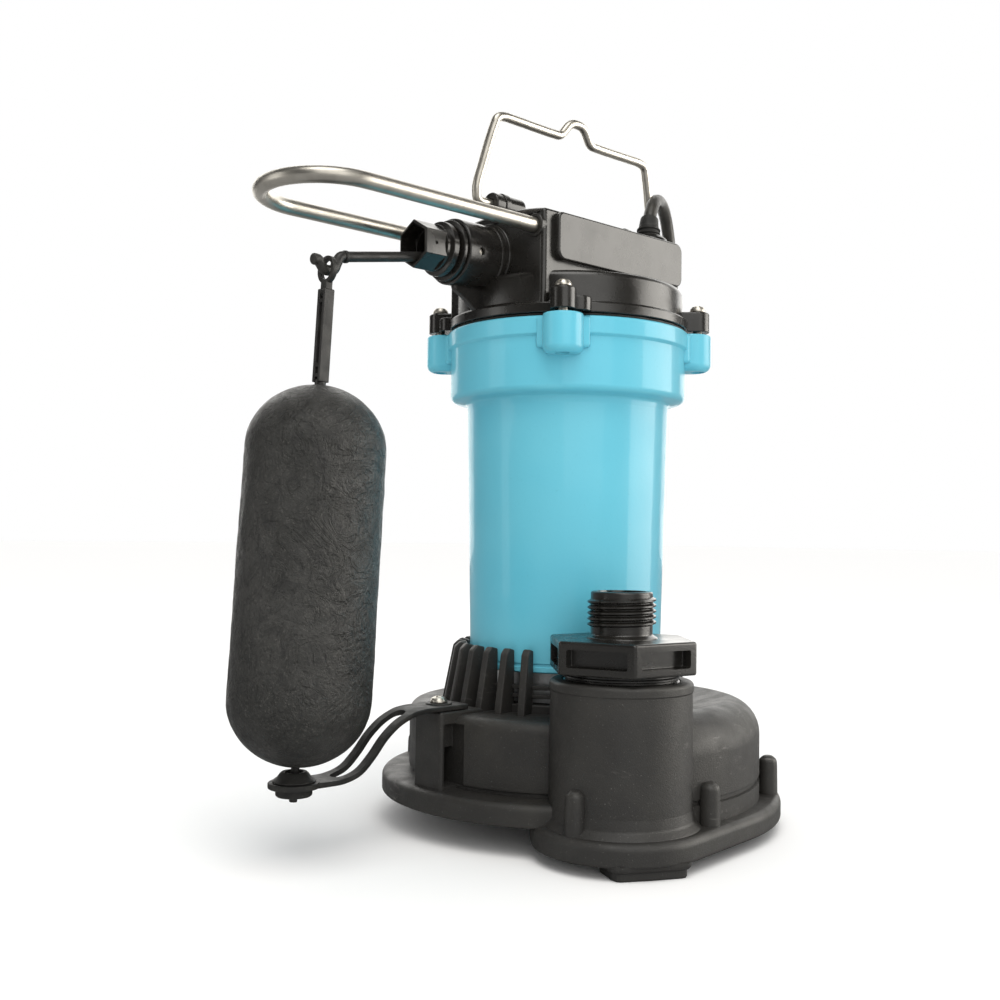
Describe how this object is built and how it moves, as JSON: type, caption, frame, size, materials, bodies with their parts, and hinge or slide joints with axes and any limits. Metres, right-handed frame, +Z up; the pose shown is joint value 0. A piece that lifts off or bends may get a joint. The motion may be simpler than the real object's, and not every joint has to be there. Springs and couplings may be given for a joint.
{
  "type": "submersible sump pump",
  "caption": "Upright submersible sump pump: painted motor housing on a finned volute base, switch cover with guard hoop, hanging float, carry handle, hose adapter and coiled mains cord.",
  "frame": {"origin": "bottom centre of the pump's box, without its cord, on the floor under the soles of the feet", "axes": "+Z up along the motor shaft; -X towards the float, lever and guard hoop; -Y out of the cover's flat panel; the discharge stands between them"},
  "size_m": [0.338, 0.2578, 0.3157],
  "materials": {
    "housing_blue": "gloss light blue paint over cast metal, with soft flow marks",
    "cover_black": "semi-gloss black moulded plastic with a fine moulded grain",
    "base_charcoal": "matte charcoal glass-filled plastic with fine pale specks",
    "rubber": "matte black rubber",
    "cord_black": "satin black cord jacket",
    "float_foam": "near-black moulded foam with a wrinkled skin and flow marks",
    "stainless": "bright drawn stainless wire and screws",
    "steel": "machined steel",
    "lamination_steel": "stacked electrical steel sheets",
    "copper": "varnished copper winding",
    "cast_aluminium": "die-cast, lightly machined",
    "brass": "plain brass",
    "engineering_plastic": "dark grey moulded plastic"
  },
  "bodies": {
    "root": {"motor_housing": "housing_blue", "top_cover": "cover_black", "switch_nut": "cover_black", "discharge_adapter": "cover_black", "volute_base": "base_charcoal", "bottom_plate": "base_charcoal", "cover_gasket": "rubber", "lever_boot": "rubber", "strap_tab": "rubber", "motor_seal_ring": "rubber", "shaft_seal": "rubber", "power_cord": "cord_black", "cord_coil": "cord_black", "cord_tail": "cord_black", "strain_relief": "cord_black", "plug_body": "cord_black", "guard_hoop": "stainless", "cover_screw_1": "stainless", "cover_screw_2": "stainless", "cover_screw_3": "stainless", "cover_screw_4": "stainless", "lever_pin": "stainless", "strap_screw": "stainless", "base_screw_1": "stainless", "base_screw_2": "stainless", "base_screw_3": "stainless", "base_screw_4": "stainless", "base_screw_5": "stainless", "base_screw_6": "stainless", "motor_screw_1": "stainless", "motor_screw_2": "stainless", "motor_screw_3": "stainless", "motor_screw_4": "stainless", "upper_bearing": "steel", "lower_bearing": "steel", "stator_core": "lamination_steel", "winding_lower": "copper", "winding_upper": "copper", "upper_bearing_plate": "cast_aluminium", "lower_bearing_plate": "cast_aluminium", "plug_blade_1": "brass", "plug_blade_2": "brass", "ground_pin": "brass", "snap_switch": "engineering_plastic"},
    "lever": {"lever_arm": "engineering_plastic"},
    "float": {"float_rod": "engineering_plastic", "float": "float_foam"},
    "strap": {"guide_strap": "rubber", "float_grommet": "rubber"},
    "plunger": {"switch_plunger": "engineering_plastic"},
    "rotor": {"motor_shaft": "stainless", "rotor": "steel", "impeller": "engineering_plastic", "impeller_nut": "brass"},
    "handle": {"carry_handle": "stainless"}
  },
  "joints": [
    {"name": "lever_tilt", "type": "hinge", "parent": "root", "child": "lever", "pos_m": [-0.02655, 0.01268, 0.2444], "axis": [0, 1, 0], "range_deg": [0, 16]},
    {"name": "float_swing", "type": "hinge", "parent": "lever", "child": "float", "pos_m": [-0.09435, 0.01268, 0.2276], "axis": [0, 1, 0], "range_deg": [-16, 1]},
    {"name": "strap_flex", "type": "hinge", "parent": "root", "child": "strap", "pos_m": [-0.04855, 0.01268, 0.0553], "axis": [0, 1, 0], "range_deg": [-1, 20]},
    {"name": "switch_press", "type": "slide", "parent": "root", "child": "plunger", "axis": [1, 0, 0], "range_m": [0, 0.0017]},
    {"name": "rotor_spin", "type": "hinge", "parent": "root", "child": "rotor", "pos_m": [0.03545, 0.00868, 0.1], "axis": [0, 0, 1], "continuous": true},
    {"name": "handle_fold", "type": "hinge", "parent": "root", "child": "handle", "pos_m": [0.03545, 0.00868, 0.269], "axis": [-1, 0, 0], "range_deg": [0, 90]}
  ],
  "couplings": [
    {"joint": "float_swing", "follows": "lever_tilt", "ratio": -0.9498},
    {"joint": "strap_flex", "follows": "lever_tilt", "ratio": 1.1694},
    {"joint": "switch_press", "follows": "lever_tilt", "m_per_rad": 0.00563}
  ]
}
